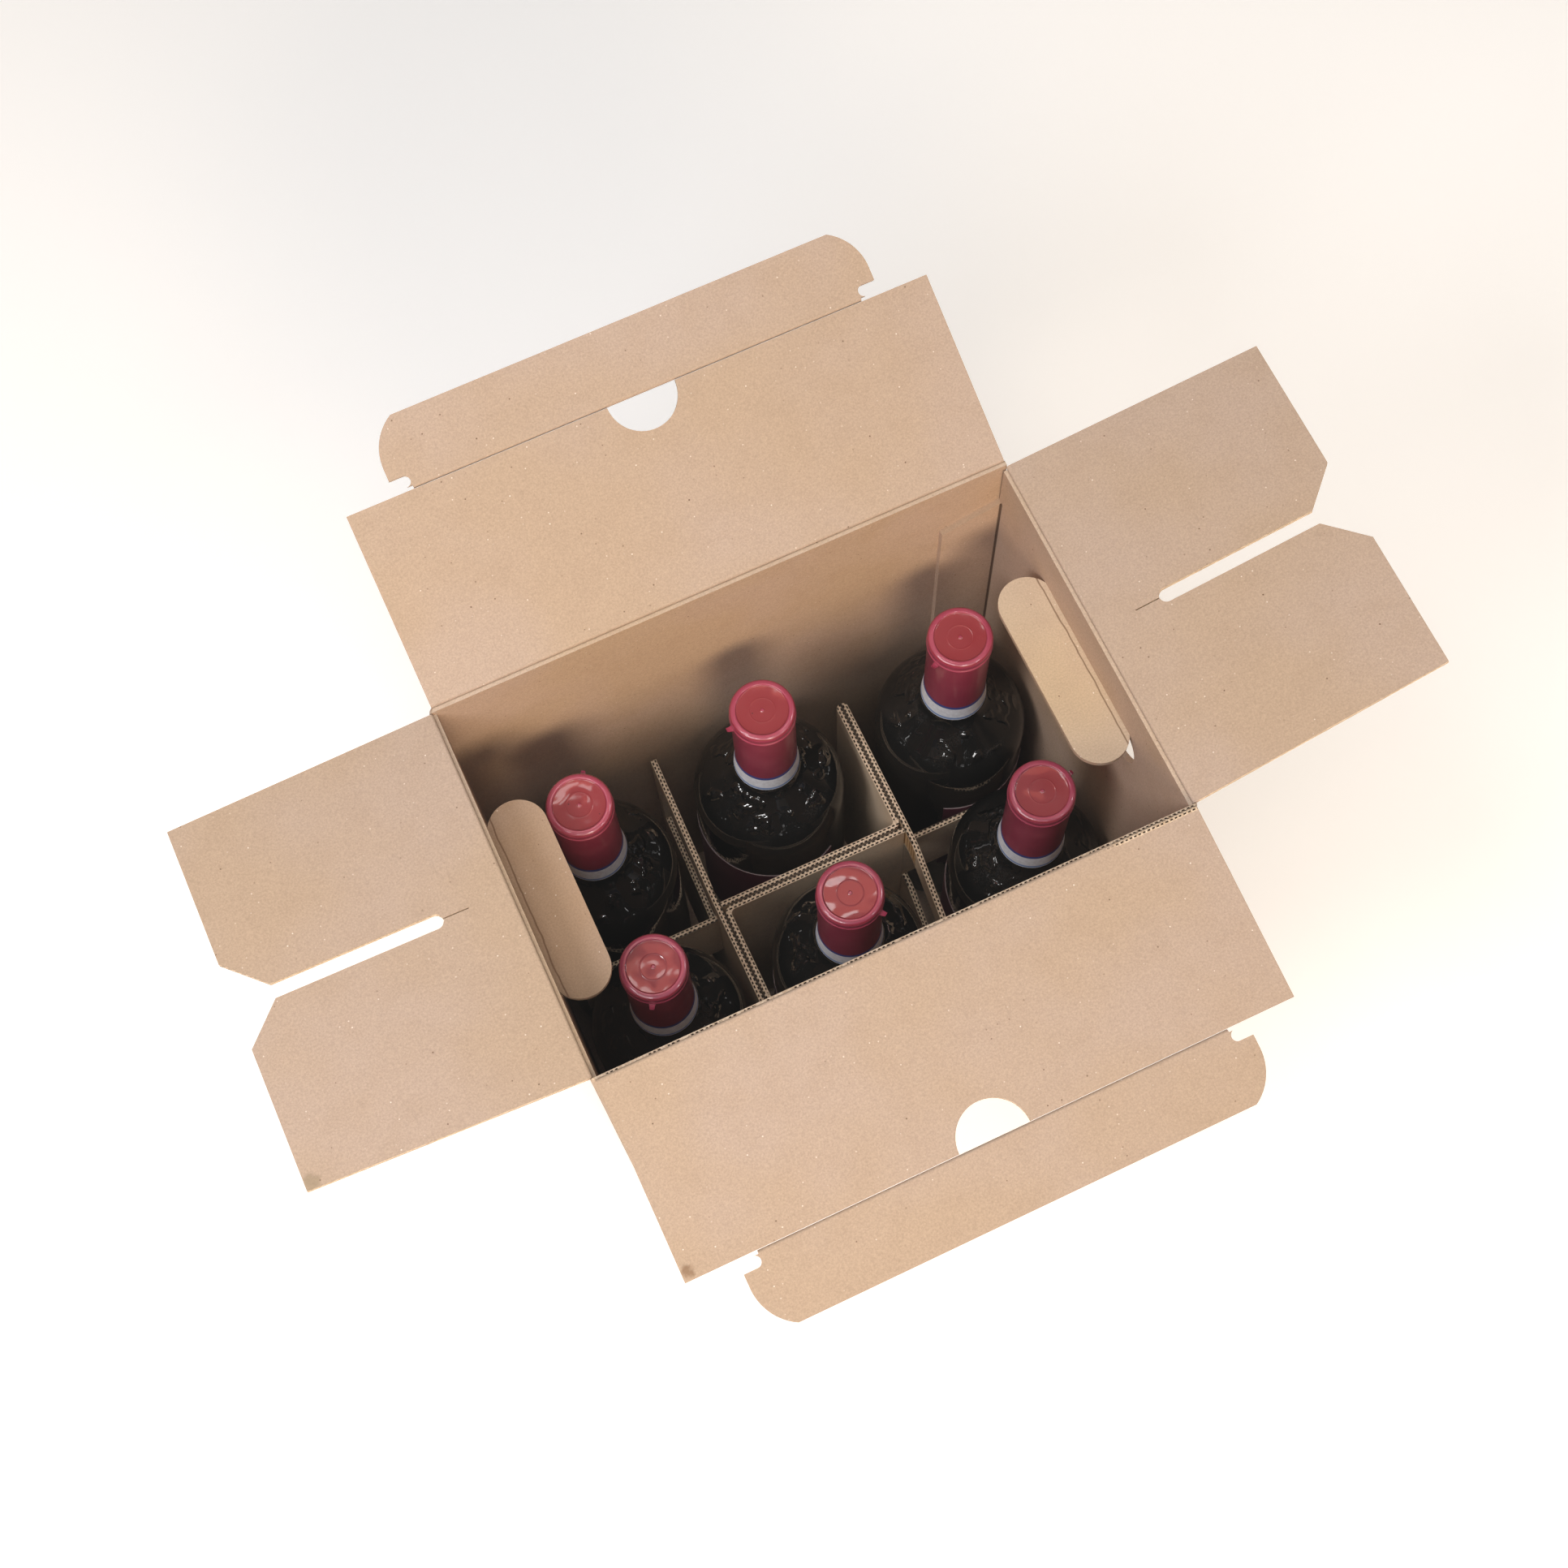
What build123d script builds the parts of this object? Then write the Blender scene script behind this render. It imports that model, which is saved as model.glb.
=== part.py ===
from build123d import *
import os
from math import cos, radians, sin

# Bottle shipping box: an open die-cut carton of double-wall board, a divider folded from two pieces and
# six sealed bottles. Millimetres, +Z up, +X along the long side, origin at the centre of the base.

# Board
board = 3.0            # thickness of the double-wall board
fold_gap = 0.25        # gap between a folded edge and the edge that it turns beside
seat_gap = 0.3         # gap between flaps that lie on each other when the box is closed
ply_gap = 0.2          # gap between two plies that lie side by side
corner_inside = 0.5    # inside radius of a folded corner
half_board = board / 2
corner_bend = half_board + corner_inside

# Bottles
bottle_high = 300.0
bottle_radius = 39.0
neck_radius = 15.0     # at the top of the bottle
neck_flare = 1.6       # growth of the neck's radius down to its root
neck_root_bend = 14.0
root_gap = 6.0         # lower edge of the neck band to the root, where neck and shoulder would meet
shoulder_rise = 23.0   # straight side to the root of the neck, before the bends
shoulder_bend = 30.0
heel_bend = 5.0
foot_ring = 7.0        # width of the flat ring that a bottle stands on
punt_deep = 22.0
skin_gap = 0.05        # between the glass and what is wrapped round it

# Capsule, neck band and body label
capsule_wall = 0.4
capsule_top = 1.2
capsule_long = 54.0
rim_chamfer = 0.8      # chamfer of the capsule's upper edge
disc_radius = 12.4     # sunk disc in the top of the capsule
disc_deep = 0.5
bead_drop = 6.0        # top of the capsule to the middle of its bead
bead_high = 1.8
bead_proud = 0.6       # the bead stands off the capsule's side by this much
pull_long = 3.5        # tear tab that stands off the capsule below its bead
pull_wide = 3.0
pull_thick = 0.5
pull_drop = 7.0
band_long = 14.0
band_thick = 0.4
label_drop = 43.0      # top of the straight side to the label's upper edge
label_high = 95.0
label_thick = 0.25
label_turn = 170.0     # how far a body label reaches round its bottle, in degrees

# Room round the bottles, which gives the carton its size
head_room = 56.0       # top of a bottle to the creases of the long flaps
row_slack = 10.4       # spare width of each cell
middle_slack = 24.0    # spare length of each middle cell
end_slack = 10.0       # spare length of each end cell
end_gap = 4.0          # bottle at an end to the end wall
row_gap = 0.9          # bottle at an end to the middle wall
side_gap = 3.0         # middle bottle to the long wall
back_shift = 2.0       # middle bottles stand left of the middle of their cell by this much
front_shift = 3.0

# Carton
cross_wall_x = bottle_radius + middle_slack / 2 + half_board
inner_long = cross_wall_x + half_board + 2 * bottle_radius + end_slack
inner_wide = ply_gap / 2 + board + 2 * bottle_radius + row_slack
half_long = inner_long + board
half_wide = inner_wide + board
floor_top = 2 * board
rim_high = floor_top + bottle_high + head_room
base_bend = 3.0        # outside radius of the folds between long walls and base
rim_round = 1.4        # rounding of the wall's outer edge below each crease
base_seam = 0.6        # gap between the two outer flaps of the base
base_gap = 40.0        # the two inner flaps of the base leave the middle open

# Flaps
strip_deep = 32.25     # tuck strip, from its crease to its outer edge
long_flap_inset = 2.0  # each end of a long flap stands back from the corner
end_flap_inset = 3.5   # the same for the end flaps, at their crease
end_flap_taper = 4.5   # each side edge of an end flap runs in by this much
back_rise = 23.0       # angles above level in which the flaps rest, in degrees
front_rise = -7.0
left_rise = 3.0
right_rise = 11.0
end_rim = rim_high - board - seat_gap
long_wall_top = rim_high - half_board - fold_gap
end_wall_top = end_rim - half_board - fold_gap
tuck_reach = half_wide - half_board - fold_gap
panel_reach = tuck_reach - half_board - fold_gap
flap_reach = tuck_reach + strip_deep

# Tuck closure
slot_clear = 1.0       # spare width of an end flap's slot, which takes both strips
slot_end = 30.0        # crease to the closed end of the slot
slot_mouth = 17.0      # chamfer on each side of the slot's mouth
slit_long = 12.0       # knife cut that runs on from the slot towards the crease
slit_wide = 0.6
neck_clear = 2.0       # end of the strip's neck to the closed end of the slot
notch_clear = 2.2      # spare width of the notch between a long flap and the ear of its tuck strip
ear_long = 6.5         # how far an ear reaches past the strip's neck
ear_side = 6.0         # straight end of an ear, from the notch to the arc
ear_round = 12.5       # length over which the end of the strip is rounded
moon_radius = 16.8     # half-round finger cut at the middle of the strip's crease
slot_wide = 2 * board + slot_clear
notch_wide = board + notch_clear
neck_half = half_long - slot_end - neck_clear
ear_half = neck_half + ear_long
apex_half = ear_half - ear_round

# Glued joint at the back right corner
tab_wide = 31.0
tab_drop = 34.0        # top of the tab below the rim, at the corner
tab_slant = 8.0        # further drop of its top edge over its width
tab_foot = 10.0        # height of its lower end above the floor
joint_gap = 1.0        # raw edges at the joint stand apart by this much

# Hand holes in the end walls
hole_long = 100.0
hole_high = 28.0
hole_drop = 35.0       # rim to the hole's upper edge, where its flap is folded inwards
hinge_high = rim_high - hole_drop

# Divider
divider_high = 191.0
divider_clear = 3.5    # gap between the free end of a cross wall and the long wall
fold_clear = 16.5      # gap between its folded end and the other long wall
inner_bend = 4.0       # bend between cross wall and middle wall, at the middle of the board
right_lean = 6.0       # the single half of each full-length wall turns in by this angle, in degrees
left_lean = 1.5
lean_start = 12.0      # where that turn starts, from the middle of the box
lean_bend = 80.0
window_drop = 20.0     # top of the divider to the top of the windows
window_high = 55.0
window_margin = 6.9    # board left between a window and each end of its half of the wall

# Heights up a bottle
capsule_foot = bottle_high - capsule_long
capsule_radius = neck_radius + skin_gap + capsule_wall
neck_root_high = capsule_foot - band_long - root_gap
neck_root_radius = neck_radius + neck_flare
shoulder_high = neck_root_high - shoulder_rise
label_top = shoulder_high - label_drop
punt_radius = bottle_radius - heel_bend - foot_ring

# Places of the bottles: X and Y of the middle, and the directions of the label and the tear tab
column_x = inner_long - bottle_radius - end_gap
row_y = ply_gap / 2 + board + row_gap + bottle_radius
middle_row_y = inner_wide - bottle_radius - side_gap
bottle_places = {
    "back_left": (-column_x, row_y, 100.0, 63.0),
    "back_middle": (-back_shift, middle_row_y, 215.0, 180.0),
    "back_right": (column_x, row_y, 326.0, 200.0),
    "front_left": (-column_x, -row_y, 60.0, 243.0),
    "front_middle": (-front_shift, -middle_row_y, 90.0, 307.0),
    "front_right": (column_x, -row_y, 200.0, 13.0),
}

pick_gap = 0.01         # how far an edge may lie from the height that selects it

os.makedirs("parts", exist_ok=True)


def save(node: BuildPart, name: str) -> None:
    """Label a finished piece and write it to its own file."""
    node.part.label = name
    export_step(node.part, f"parts/{name}.step")


def flap_plane(crease_point: tuple, outward: tuple, rise: float, reach: float = 0.0) -> Plane:
    """Middle plane of a flap: x along its crease, y away from the box, z out of its inner face.

    reach moves the plane's origin outwards along the flap, to the crease of its tuck strip.
    """
    level = cos(radians(rise))
    out = Vector(outward[0] * level, outward[1] * level, sin(radians(rise)))
    along = Vector(outward[1], -outward[0], 0)
    return Plane(origin=Vector(*crease_point) + out * reach, x_dir=along, z_dir=along.cross(out))


def crease_end(plane: Plane, half: float) -> Plane:
    """Plane across one end of a flap's crease, from which its rounded edge runs along the crease."""
    return Plane(origin=plane.origin - plane.x_dir * half, x_dir=plane.y_dir, z_dir=plane.x_dir)


def outer_pair(edges: ShapeList, axis: Axis) -> ShapeList:
    """The two outermost long edges of a list, along the given axis."""
    long_edges = edges.filter_by(lambda edge: edge.length > half_wide).sort_by(axis)
    return ShapeList([long_edges[0], long_edges[-1]])


def edges_at(part: BuildPart, along: Axis, high: float) -> ShapeList:
    """Edges of a part that run along an axis at one height."""
    return part.edges().filter_by(along).filter_by_position(Axis.Z, high - pick_gap, high + pick_gap)


def make_carton() -> BuildPart:
    """Walls, glued base, glued corner tab and hand-hole flaps, folded from one sheet."""
    mid_long = half_long - half_board
    mid_wide = half_wide - half_board
    fold_start = inner_wide - 2 * board
    tab_tip = inner_long - tab_wide
    tab_high = rim_high - tab_drop
    with BuildPart() as carton:
        # Four walls, with raw edges that stand apart at the glued corner
        with BuildSketch():
            with BuildLine():
                FilletPolyline(
                    (half_long - joint_gap, mid_wide),
                    (-mid_long, mid_wide),
                    (-mid_long, -mid_wide),
                    (mid_long, -mid_wide),
                    (mid_long, inner_wide - joint_gap),
                    radius=corner_bend,
                )
            trace(line_width=board)
        extrude(amount=long_wall_top)
        # The end walls are one board lower at the top, and stop above the outer flaps of the base
        for low, high in ((0, board), (end_wall_top, rim_high)):
            with BuildSketch(Plane.XY.offset(low)):
                with Locations((mid_long, 0), (-mid_long, 0)):
                    Rectangle(2 * board, 2 * inner_wide)
            extrude(amount=high - low, mode=Mode.SUBTRACT)
        # The walls' outer edges are pressed round below the creases
        fillet(outer_pair(edges_at(carton, Axis.Y, end_wall_top), Axis.X), radius=rim_round)
        fillet(outer_pair(edges_at(carton, Axis.X, long_wall_top), Axis.Y), radius=rim_round)
        # Corner tab: it folds from the right wall and is glued inside the back wall
        with BuildSketch(Plane.XY.offset(tab_foot)):
            with Locations((inner_long, fold_start)):
                Rectangle(board, 2 * board, align=Align.MIN)
        extrude(amount=tab_high - tab_foot, mode=Mode.SUBTRACT)
        with BuildSketch(Plane.XY.offset(tab_foot)):
            with BuildLine():
                FilletPolyline(
                    (mid_long, fold_start),
                    (mid_long, inner_wide - half_board),
                    (tab_tip, inner_wide - half_board),
                    radius=corner_bend,
                )
            trace(line_width=board)
        extrude(amount=tab_high - tab_foot)
        with BuildSketch(Plane.XZ.offset(-inner_wide)):
            with BuildLine():
                Polyline((inner_long, tab_high), (tab_tip, tab_high - tab_slant), (tab_tip, tab_high), close=True)
            make_face()
        extrude(amount=board, mode=Mode.SUBTRACT)
        # Base: two inner flaps that leave the middle open, glued on two outer flaps that meet at a seam
        with BuildSketch():
            Rectangle(2 * (half_long - long_flap_inset), 2 * mid_wide)
            Rectangle(2 * half_long, base_seam, mode=Mode.SUBTRACT)
        extrude(amount=board)
        with BuildSketch(Plane.XY.offset(board)):
            Rectangle(2 * mid_long, 2 * inner_wide)
            Rectangle(base_gap, 2 * inner_wide, mode=Mode.SUBTRACT)
        extrude(amount=board)
        # The outer flaps of the base fold in from the long walls
        with BuildSketch(Plane.YZ.offset(-half_long)):
            with Locations((half_wide, 0), (-half_wide, 0)):
                Rectangle(2 * base_bend, 2 * base_bend)
            with Locations((half_wide - base_bend, base_bend), (base_bend - half_wide, base_bend)):
                Circle(base_bend, mode=Mode.SUBTRACT)
        extrude(amount=2 * half_long, mode=Mode.SUBTRACT)
        # Hand holes, with their flaps folded in to level
        with BuildSketch(Plane.YZ.offset(-half_long - board)):
            with Locations((0, hinge_high - hole_high / 2)):
                SlotOverall(hole_long, hole_high)
        extrude(amount=2 * (half_long + board), mode=Mode.SUBTRACT)
        with BuildSketch(Plane.XY.offset(hinge_high - half_board)):
            with Locations((mid_long - hole_high / 2, 0), (hole_high / 2 - mid_long, 0)):
                SlotOverall(hole_long, hole_high, rotation=90)
        extrude(amount=board)
    return carton


def make_long_flap(plane: Plane) -> BuildPart:
    """Panel of a long flap, from its crease to the crease of its tuck strip."""
    half = half_long - long_flap_inset
    with BuildPart() as flap:
        with BuildSketch(plane):
            with Locations((0, panel_reach / 2)):
                Rectangle(2 * half, panel_reach)
            with Locations((0, panel_reach)):
                Circle(moon_radius, mode=Mode.SUBTRACT)
        extrude(amount=half_board, both=True)
        with BuildSketch(crease_end(plane, half)):
            Circle(half_board)
        extrude(amount=2 * half)
    return flap


def make_tuck_strip(plane: Plane) -> BuildPart:
    """Tuck strip from its crease outwards, with a notch and a rounded ear at each end."""
    ear_top = notch_wide + ear_side
    notch_end = notch_wide / 2
    with BuildPart() as strip:
        with BuildSketch(plane):
            with BuildLine():
                Polyline((0, 0), (neck_half, 0), (neck_half, notch_wide), (ear_half, notch_wide), (ear_half, ear_top))
                TangentArc((ear_half, ear_top), (apex_half, strip_deep), tangent=(0, 1))
                Polyline((apex_half, strip_deep), (0, strip_deep), (0, 0))
            make_face()
            mirror(about=Plane.YZ)
            with Locations((neck_half, notch_end), (-neck_half, notch_end)):
                Circle(notch_end, mode=Mode.SUBTRACT)
        extrude(amount=half_board, both=True)
        with BuildSketch(crease_end(plane, neck_half - notch_end)):
            Circle(half_board)
        extrude(amount=2 * (neck_half - notch_end))
    return strip


def make_end_flap(plane: Plane) -> BuildPart:
    """End flap with the slot that takes both tuck strips."""
    root = half_wide - end_flap_inset
    tip = root - end_flap_taper
    half_slot = slot_wide / 2
    mouth = flap_reach - slot_mouth
    with BuildPart() as flap:
        with BuildSketch(plane):
            with BuildLine():
                Polyline((-root, 0), (root, 0), (tip, flap_reach), (-tip, flap_reach), close=True)
            make_face()
            with BuildLine():
                Polyline(
                    (-half_slot, slot_end + half_slot),
                    (half_slot, slot_end + half_slot),
                    (half_slot, mouth),
                    (half_slot + slot_mouth, flap_reach),
                    (-half_slot - slot_mouth, flap_reach),
                    (-half_slot, mouth),
                    close=True,
                )
            make_face(mode=Mode.SUBTRACT)
            with Locations((0, slot_end + half_slot)):
                Circle(half_slot, mode=Mode.SUBTRACT)
            with Locations((0, slot_end + half_slot)):
                Rectangle(slit_wide, slit_long + half_slot, align=(Align.CENTER, Align.MAX), mode=Mode.SUBTRACT)
        extrude(amount=half_board, both=True)
        with BuildSketch(crease_end(plane, root)):
            Circle(half_board)
        extrude(amount=2 * root)
    return flap


def make_divider_piece(turn: float, lean: float) -> BuildPart:
    """One folded piece of the divider, turned about the middle of the box.

    A full-length cross wall folds back on itself at one end, comes to the middle, bends there and runs
    across as one ply of the middle wall. A window flap of its single half is folded out as the middle
    wall of the end cells.
    """
    pitch = board + ply_gap
    inner_x = cross_wall_x - pitch
    wall_end = inner_wide - divider_clear
    fold_start = inner_wide - fold_clear - half_board - pitch / 2
    lean_x = cross_wall_x - (wall_end - lean_start) * sin(radians(lean))
    window_foot = divider_high - window_drop - window_high
    window_long = wall_end - ply_gap / 2 - board - window_margin
    middle_end = half_board + ply_gap - cross_wall_x
    foot = Plane.XY.offset(floor_top)
    with BuildPart() as piece:
        with BuildSketch(foot):
            with BuildLine():
                FilletPolyline(
                    (lean_x, -wall_end), (cross_wall_x, -lean_start), (cross_wall_x, fold_start), radius=lean_bend
                )
                TangentArc((cross_wall_x, fold_start), (inner_x, fold_start), tangent=(0, 1))
                FilletPolyline(
                    (inner_x, fold_start), (inner_x, pitch / 2), (middle_end, pitch / 2), radius=inner_bend
                )
            trace(line_width=board)
        extrude(amount=divider_high)
        with BuildSketch(foot.offset(window_foot)):
            with Locations((cross_wall_x, -ply_gap / 2 - board)):
                Rectangle(4 * board + 2 * (cross_wall_x - lean_x), window_long, align=(Align.CENTER, Align.MAX))
        extrude(amount=window_high, mode=Mode.SUBTRACT)
        with BuildSketch(foot.offset(window_foot)):
            with Locations((cross_wall_x, -ply_gap / 2)):
                Rectangle(window_long + half_board, board, align=(Align.MIN, Align.MAX))
        extrude(amount=window_high)
    with BuildPart() as turned:
        add(piece.part.rotate(Axis.Z, turn))
    return turned


def bottle_plane(x: float, y: float, turn: float) -> Plane:
    """Upright plane through a bottle's middle, with x in the direction of turn and y up."""
    front = Vector(cos(radians(turn)), sin(radians(turn)), 0)
    return Plane(origin=(x, y, floor_top), x_dir=front, z_dir=front.cross(Vector(0, 0, 1)))


def upright(x: float, y: float) -> Axis:
    """Upright axis through a bottle's middle."""
    return Axis((x, y, 0), (0, 0, 1))


def make_bottle(x: float, y: float) -> BuildPart:
    """Glass bottle, filled and corked, so one solid: punt, heel, shoulder and neck."""
    top = bottle_high - capsule_top - skin_gap
    with BuildPart() as bottle:
        with BuildSketch(bottle_plane(x, y, 0)):
            with BuildLine():
                FilletPolyline(
                    (punt_radius, 0),
                    (bottle_radius, 0),
                    (bottle_radius, shoulder_high),
                    (neck_root_radius, neck_root_high),
                    (neck_radius, capsule_foot),
                    radius=(heel_bend, shoulder_bend, neck_root_bend),
                )
                Polyline((neck_radius, capsule_foot), (neck_radius, top), (0, top), (0, punt_deep), (punt_radius, 0))
            make_face()
        revolve(axis=upright(x, y))
    return bottle


def make_capsule(x: float, y: float, turn: float) -> BuildPart:
    """Capsule over the cork and neck: sunk top disc, chamfered bead and a small tear tab."""
    inside = capsule_radius - capsule_wall
    top = bottle_high
    disc = bottle_high - disc_deep
    bead_top = bottle_high - bead_drop + bead_high / 2
    bead_foot = bead_top - bead_high
    bead_edge = capsule_radius + bead_proud
    plane = bottle_plane(x, y, turn)
    with BuildPart() as capsule:
        with BuildSketch(plane):
            with BuildLine():
                Polyline(
                    (inside, capsule_foot),
                    (capsule_radius, capsule_foot),
                    (capsule_radius, bead_foot),
                    (bead_edge, bead_foot + bead_proud),
                    (bead_edge, bead_top - bead_proud),
                    (capsule_radius, bead_top),
                    (capsule_radius, top - rim_chamfer),
                    (capsule_radius - rim_chamfer, top),
                    (disc_radius, top),
                    (disc_radius, disc),
                    (0, disc),
                    (0, top - capsule_top),
                    (inside, top - capsule_top),
                    close=True,
                )
            make_face()
        revolve(axis=upright(x, y))
        with BuildSketch(plane):
            with Locations((capsule_radius - capsule_wall / 2, bottle_high - pull_drop)):
                Rectangle(pull_long, pull_thick, align=(Align.MIN, Align.MAX))
        extrude(amount=pull_wide / 2, both=True)
    return capsule


def make_neck_band(x: float, y: float) -> BuildPart:
    """Paper band round the foot of the capsule, flared as the neck is."""
    flare = (neck_root_radius - neck_radius) / (capsule_foot - neck_root_high) * band_long
    inside = neck_radius + skin_gap
    foot = capsule_foot - band_long - skin_gap
    with BuildPart() as band:
        with BuildSketch(bottle_plane(x, y, 0)):
            with BuildLine():
                Polyline(
                    (inside, capsule_foot - skin_gap),
                    (inside + band_thick, capsule_foot - skin_gap),
                    (inside + band_thick + flare, foot),
                    (inside + flare, foot),
                    close=True,
                )
            make_face()
        revolve(axis=upright(x, y))
    return band


def make_label(x: float, y: float, turn: float) -> BuildPart:
    """Paper label on the straight side of a bottle, its middle in the direction of turn."""
    with BuildPart() as label:
        with BuildSketch(bottle_plane(x, y, turn - label_turn / 2)):
            with Locations((bottle_radius + skin_gap, label_top)):
                Rectangle(label_thick, label_high, align=(Align.MIN, Align.MAX))
        revolve(axis=upright(x, y), revolution_arc=label_turn)
    return label


save(make_carton(), "carton")

long_flaps = {
    "back": ((0, half_wide, rim_high), (0, 1), back_rise),
    "front": ((0, -half_wide, rim_high), (0, -1), front_rise),
}
for place, (crease_point, outward, rise) in long_flaps.items():
    save(make_long_flap(flap_plane(crease_point, outward, rise)), f"flap_{place}")
    save(make_tuck_strip(flap_plane(crease_point, outward, rise, tuck_reach)), f"tuck_strip_{place}")

end_flaps = {
    "left": ((-half_long, 0, end_rim), (-1, 0), left_rise),
    "right": ((half_long, 0, end_rim), (1, 0), right_rise),
}
for place, (crease_point, outward, rise) in end_flaps.items():
    save(make_end_flap(flap_plane(crease_point, outward, rise)), f"flap_{place}")

save(make_divider_piece(0, right_lean), "divider_right")
save(make_divider_piece(180, left_lean), "divider_left")

for place, (x, y, label_middle, pull_middle) in bottle_places.items():
    save(make_bottle(x, y), f"bottle_{place}")
    save(make_capsule(x, y, pull_middle), f"capsule_{place}")
    save(make_neck_band(x, y), f"neck_band_{place}")
    save(make_label(x, y, label_middle), f"label_{place}")
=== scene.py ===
"""Open corrugated shipping box with six sealed wine bottles, seen from above.

The scene is in metres, +Z up. Sizes of pieces and patterns are in millimetres, angles in degrees.
"""
import logging
from dataclasses import dataclass
from enum import Enum
from functools import partial
from math import cos, pi, radians, sin
from typing import Callable, ClassVar, Sequence

import bpy
from bpy.types import Material, Node, NodeSocket, NodeTree, Object
from mathutils import Euler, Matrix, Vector


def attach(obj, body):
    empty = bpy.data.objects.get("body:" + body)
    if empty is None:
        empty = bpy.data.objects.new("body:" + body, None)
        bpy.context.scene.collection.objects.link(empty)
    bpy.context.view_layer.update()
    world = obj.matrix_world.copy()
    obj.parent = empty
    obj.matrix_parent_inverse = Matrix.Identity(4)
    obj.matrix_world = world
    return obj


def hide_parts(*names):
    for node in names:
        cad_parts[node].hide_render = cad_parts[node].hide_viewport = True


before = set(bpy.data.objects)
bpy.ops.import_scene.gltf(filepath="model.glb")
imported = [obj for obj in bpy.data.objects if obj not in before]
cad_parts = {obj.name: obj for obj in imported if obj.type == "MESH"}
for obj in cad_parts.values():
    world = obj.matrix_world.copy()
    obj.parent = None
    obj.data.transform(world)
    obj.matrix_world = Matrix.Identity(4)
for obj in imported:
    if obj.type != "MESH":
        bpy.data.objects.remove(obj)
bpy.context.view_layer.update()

MM = 0.001
UP = (0, 0, 1)
LOG = logging.getLogger("bottle_box")

Point = tuple[float, float, float]
Adder = Callable[..., NodeSocket]


class Place(Enum):
    """Cell of the box that a bottle stands in."""

    BACK_LEFT = "back_left"
    BACK_MIDDLE = "back_middle"
    BACK_RIGHT = "back_right"
    FRONT_LEFT = "front_left"
    FRONT_MIDDLE = "front_middle"
    FRONT_RIGHT = "front_right"


class Side(Enum):
    """Side of the box that a lid flap hangs on: its direction, and the resting flap's rise."""

    BACK = (0, 1, 23.0)
    FRONT = (0, -1, -7.0)
    LEFT = (-1, 0, 3.0)
    RIGHT = (1, 0, 11.0)


class Cut(Enum):
    """How a raw edge of corrugated board is cut, which decides what it shows."""

    ACROSS_FLUTES = "across"
    ALONG_FLUTES = "along"


class Light(Enum):
    """What a lamp does: lights and shines in gloss, or only one of the two."""

    ALL = "all"
    FILL = "fill"
    GLINT = "glint"


class Kind(Enum):
    """Shader nodes that the finishes are made of: Blender's type and its fixed settings."""

    PLACE = "TexCoord"
    SURFACE = "NewGeometry"
    NOISE = "TexNoise"
    CELLS = "TexVoronoi"
    RGB_PARTS = "SeparateColor"
    XYZ_PARTS = "SeparateXYZ"
    BUMP = "Bump"
    RAY = "LightPath"
    RANGE = "MapRange"
    EASE = "MapRange interpolation_type=SMOOTHSTEP"
    MIX = "Mix"
    BLEND = "Mix data_type=RGBA"
    ADD = "Math operation=ADD"
    SUBTRACT = "Math operation=SUBTRACT"
    MULTIPLY = "Math operation=MULTIPLY"
    MULTIPLY_ADD = "Math operation=MULTIPLY_ADD"
    ABSOLUTE = "Math operation=ABSOLUTE"
    SIGN = "Math operation=SIGN"
    SINE = "Math operation=SINE"
    MAXIMUM = "Math operation=MAXIMUM"
    LESS_THAN = "Math operation=LESS_THAN"
    GREATER_THAN = "Math operation=GREATER_THAN"
    V_SCALE = "VectorMath operation=SCALE"
    V_SUBTRACT = "VectorMath operation=SUBTRACT"
    V_MULTIPLY = "VectorMath operation=MULTIPLY"
    V_DIVIDE = "VectorMath operation=DIVIDE"
    V_ABSOLUTE = "VectorMath operation=ABSOLUTE"
    V_LENGTH = "VectorMath operation=LENGTH"
    V_DISTANCE = "VectorMath operation=DISTANCE"
    V_DOT = "VectorMath operation=DOT_PRODUCT"


def linear(code: str) -> tuple[float, float, float, float]:
    """Turn an sRGB hex colour to linear light.

    Args:
        code: Six hex digits, with or without a leading #.

    Returns:
        Linear red, green, blue and an alpha of 1.
    """
    digits = code.lstrip("#")
    values = [int(digits[i : i + 2], 16) / 255 for i in (0, 2, 4)]
    light = [v / 12.92 if v <= 0.04045 else ((v + 0.055) / 1.055) ** 2.4 for v in values]
    return light[0], light[1], light[2], 1.0


def wire(node: Node, inputs: dict | Sequence) -> None:
    """Set or link the inputs of a node.

    Args:
        node: Node to feed.
        inputs: Values, colours in sRGB hex or output sockets, in the order of the node's inputs
            or by number or name.
    """
    for name, value in inputs.items() if isinstance(inputs, dict) else enumerate(inputs):
        if isinstance(value, NodeSocket):
            node.id_data.links.new(value, node.inputs[name])
        else:
            node.inputs[name].default_value = linear(value) if isinstance(value, str) else value


def add_node(
    tree: NodeTree,
    kind: Kind,
    inputs: dict | Sequence = (),
    output: int | str | None = None,
    **settings: object,
) -> NodeSocket:
    """Add a shader node with its settings, values and links.

    Args:
        tree: Node tree of the material.
        kind: Type of the node.
        inputs: What feeds its inputs, as wire takes it.
        output: The output that is returned, or None for the first in use.
        **settings: Attributes of the node, beyond those of its kind.

    Returns:
        The output socket, which knows its node.
    """
    name, *fixed = kind.value.split()
    node = tree.nodes.new(f"ShaderNode{name}")
    for setting, value in (*(pair.split("=") for pair in fixed), *settings.items()):
        setattr(node, setting, value)
    wire(node, inputs)
    if output is None:
        return next(socket for socket in node.outputs if socket.enabled)
    return node.outputs[output]


def place_mm(add: Adder) -> NodeSocket:
    """Give the place on the piece in millimetres."""
    place = add(Kind.PLACE, output="Object")
    return add(Kind.V_SCALE, {0: place, "Scale": 1 / MM})


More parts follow.
